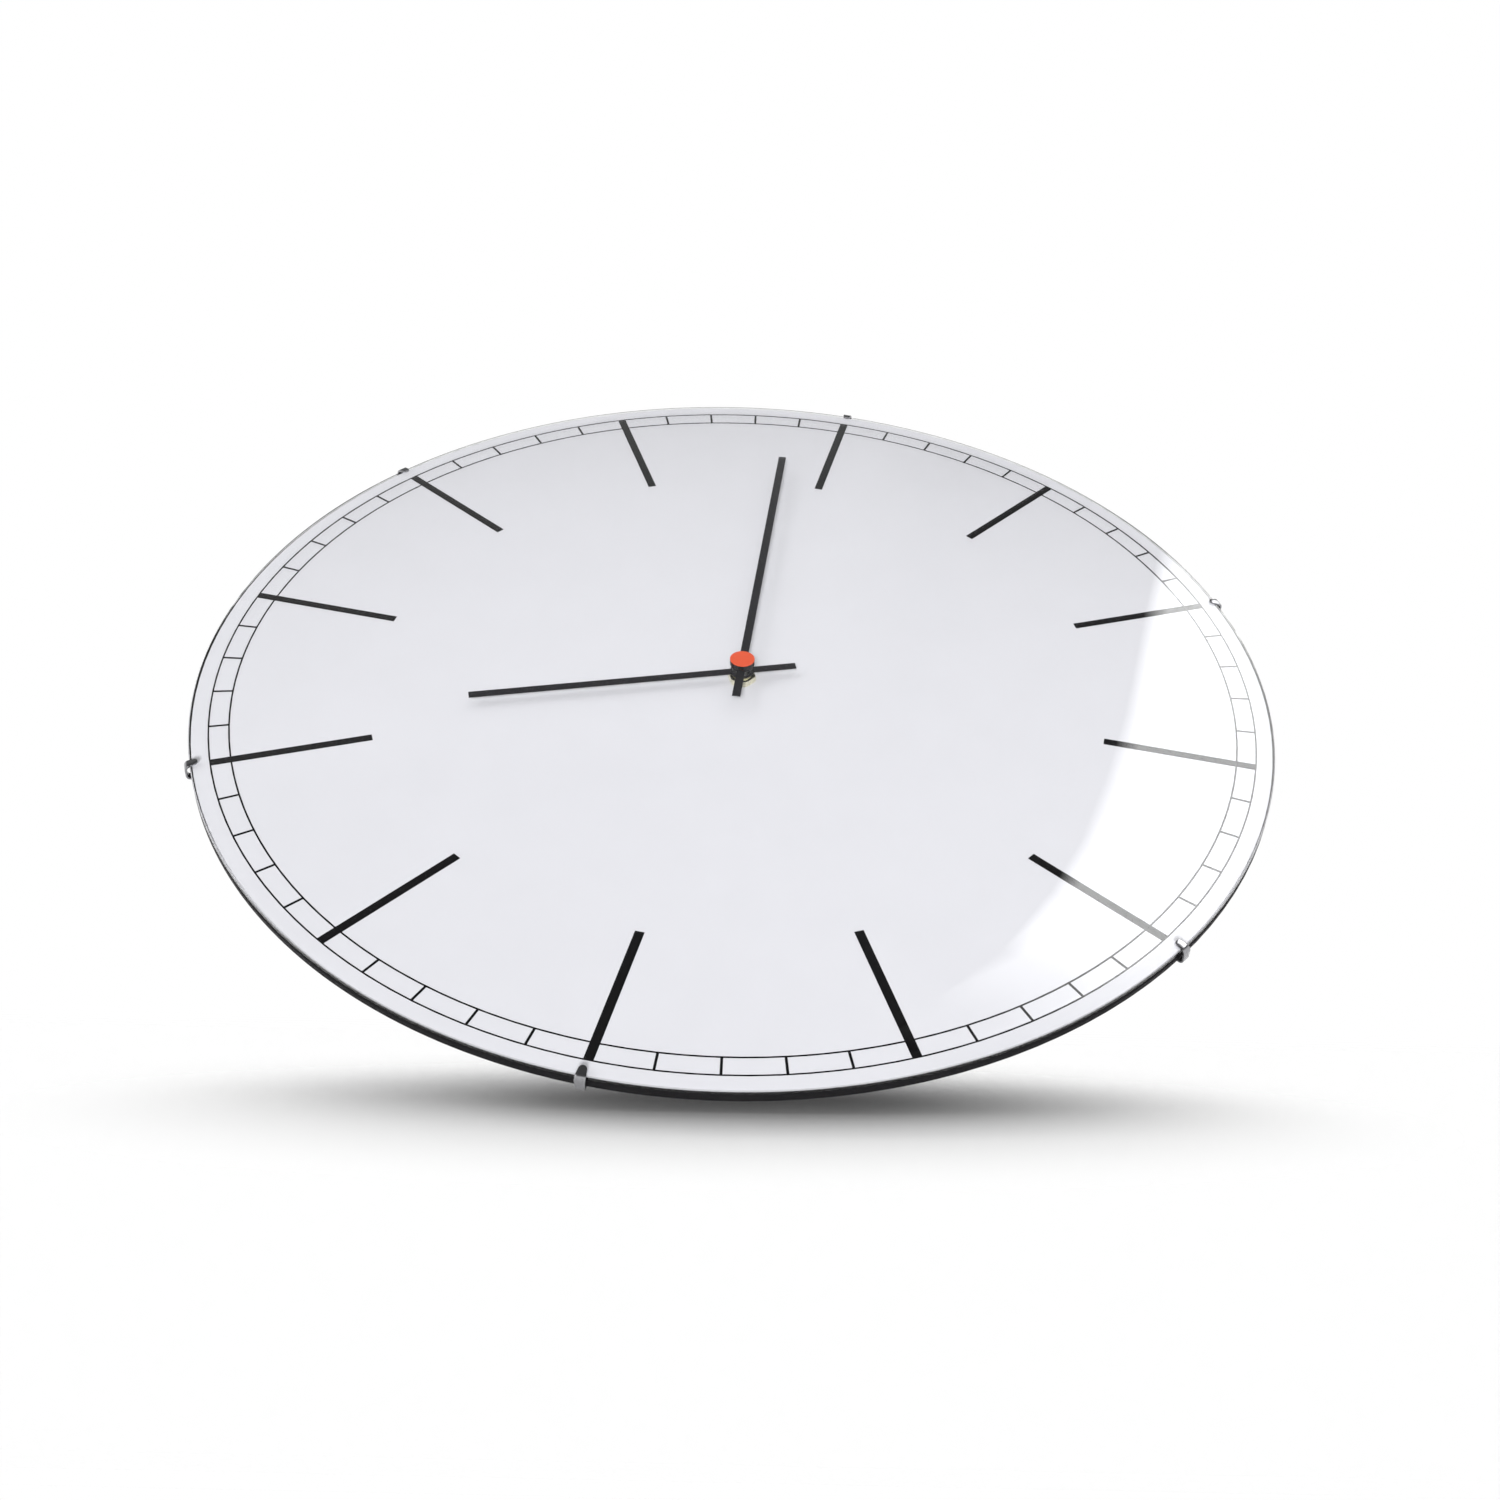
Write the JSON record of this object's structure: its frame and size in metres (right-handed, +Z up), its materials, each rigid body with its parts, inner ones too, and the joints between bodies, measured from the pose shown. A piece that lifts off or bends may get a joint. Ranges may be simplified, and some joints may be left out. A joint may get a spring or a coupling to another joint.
{
  "type": "wall clock",
  "caption": "Round wall clock with a domed glass held by spring clips over a white dial with hour bars, straight black hands and a battery quartz movement.",
  "frame": {"origin": "middle of the hanging keyhole's round entry, in the wall plane", "axes": "+Z up towards twelve o'clock, +X towards three o'clock, -Y out of the wall towards the viewer"},
  "size_m": [0.45, 0.0523, 0.4542],
  "materials": {
    "case_black": "moulded black, satin",
    "dial_white": "white paint on sheet aluminium, satin",
    "print_black": "screen-printed ink, matte",
    "clear_glass": "clear polished glass, ground edge",
    "clip_steel": "bright spring steel",
    "hand_black": "black paint on sheet aluminium, satin",
    "bush_bright": "bright turned aluminium",
    "brass_turned": "turned brass",
    "cap_black": "moulded black, satin",
    "cap_orange": "orange paint, satin",
    "rubber_black": "soft rubber",
    "movement_black": "fine spark texture",
    "hanger_steel": "zinc-plated steel",
    "wheel_white": "moulded acetal, satin",
    "bridge_grey": "moulded plastic",
    "magnet_grey": "bonded magnet",
    "stator_iron": "annealed soft iron",
    "bobbin_natural": "moulded plastic",
    "copper_wire": "enamelled copper wire",
    "board_brown": "phenolic board",
    "resin_black": "cured resin",
    "crystal_can": "tinned can",
    "contact_steel": "nickel-plated spring strip",
    "battery_sleeve": "plain dark sleeve with bright ends",
    "knob_white": "moulded acetal, satin"
  },
  "bodies": {
    "clock_case": {"case_back": "case_black", "hanger_plate": "hanger_steel", "hanger_rivets": "hanger_steel", "dial_plate": "dial_white", "dial_print": "print_black", "glass_dome": "clear_glass", "rim_clip_1": "clip_steel", "rim_clip_2": "clip_steel", "rim_clip_3": "clip_steel", "rim_clip_4": "clip_steel", "rim_clip_5": "clip_steel", "rim_clip_6": "clip_steel", "rubber_washer": "rubber_black", "threaded_bush": "brass_turned", "hex_nut": "brass_turned", "movement_front_shell": "movement_black", "movement_rear_shell": "movement_black", "train_bridge": "bridge_grey", "stator": "stator_iron", "coil_bobbin": "bobbin_natural", "coil_winding": "copper_wire", "circuit_board": "board_brown", "chip": "resin_black", "quartz_crystal": "crystal_can", "battery_contact_positive": "contact_steel", "battery_contact_negative": "contact_steel"},
    "minute_arbor": {"cannon_pinion": "wheel_white", "minute_hand": "hand_black", "minute_hand_bush": "bush_bright", "hand_cap": "cap_black", "cap_disc": "cap_orange"},
    "hour_arbor": {"hour_wheel": "wheel_white", "hour_hand": "hand_black", "hour_hand_bush": "bush_bright"},
    "setting_arbor": {"motion_wheel": "wheel_white", "setting_knob": "knob_white"},
    "centre_wheel_body": {"centre_wheel": "wheel_white"},
    "third_wheel_body": {"third_wheel": "wheel_white"},
    "seconds_wheel_body": {"seconds_wheel": "wheel_white"},
    "intermediate_wheel_body": {"intermediate_wheel": "wheel_white"},
    "rotor": {"rotor_magnet": "magnet_grey", "rotor_pinion": "wheel_white"},
    "battery_cell": {"battery": "battery_sleeve"}
  },
  "joints": [
    {"name": "minute_turn", "type": "hinge", "parent": "clock_case", "child": "minute_arbor", "pos_m": [0, -0.016, -0.14], "axis": [0, 1, 0], "continuous": true},
    {"name": "hour_turn", "type": "hinge", "parent": "clock_case", "child": "hour_arbor", "pos_m": [0, -0.016, -0.14], "axis": [0, 1, 0], "continuous": true},
    {"name": "setting_turn", "type": "hinge", "parent": "clock_case", "child": "setting_arbor", "pos_m": [0.00098, -0.016, -0.12884], "axis": [0, 1, 0], "continuous": true},
    {"name": "intermediate_turn", "type": "hinge", "parent": "clock_case", "child": "intermediate_wheel_body", "pos_m": [-0.00976, -0.016, -0.14085], "axis": [0, 1, 0], "continuous": true},
    {"name": "rotor_turn", "type": "hinge", "parent": "clock_case", "child": "rotor", "pos_m": [-0.01272, -0.016, -0.13274], "axis": [0, 1, 0], "continuous": true},
    {"name": "seconds_turn", "type": "hinge", "parent": "clock_case", "child": "seconds_wheel_body", "pos_m": [0, -0.016, -0.14], "axis": [0, 1, 0], "continuous": true},
    {"name": "third_turn", "type": "hinge", "parent": "clock_case", "child": "third_wheel_body", "pos_m": [0.01005, -0.016, -0.13823], "axis": [0, 1, 0], "continuous": true},
    {"name": "centre_turn", "type": "hinge", "parent": "clock_case", "child": "centre_wheel_body", "pos_m": [0, -0.016, -0.14], "axis": [0, 1, 0], "continuous": true},
    {"name": "battery_slide", "type": "slide", "parent": "clock_case", "child": "battery_cell", "axis": [0, 1, 0], "range_m": [0, 0.03]}
  ],
  "couplings": [
    {"joint": "hour_turn", "follows": "minute_turn", "ratio": 0.083333},
    {"joint": "setting_turn", "follows": "minute_turn", "ratio": -0.25},
    {"joint": "rotor_turn", "follows": "intermediate_turn", "ratio": -5},
    {"joint": "seconds_turn", "follows": "intermediate_turn", "ratio": -0.16667},
    {"joint": "third_turn", "follows": "intermediate_turn", "ratio": 0.022222},
    {"joint": "centre_turn", "follows": "intermediate_turn", "ratio": -0.0027778}
  ]
}
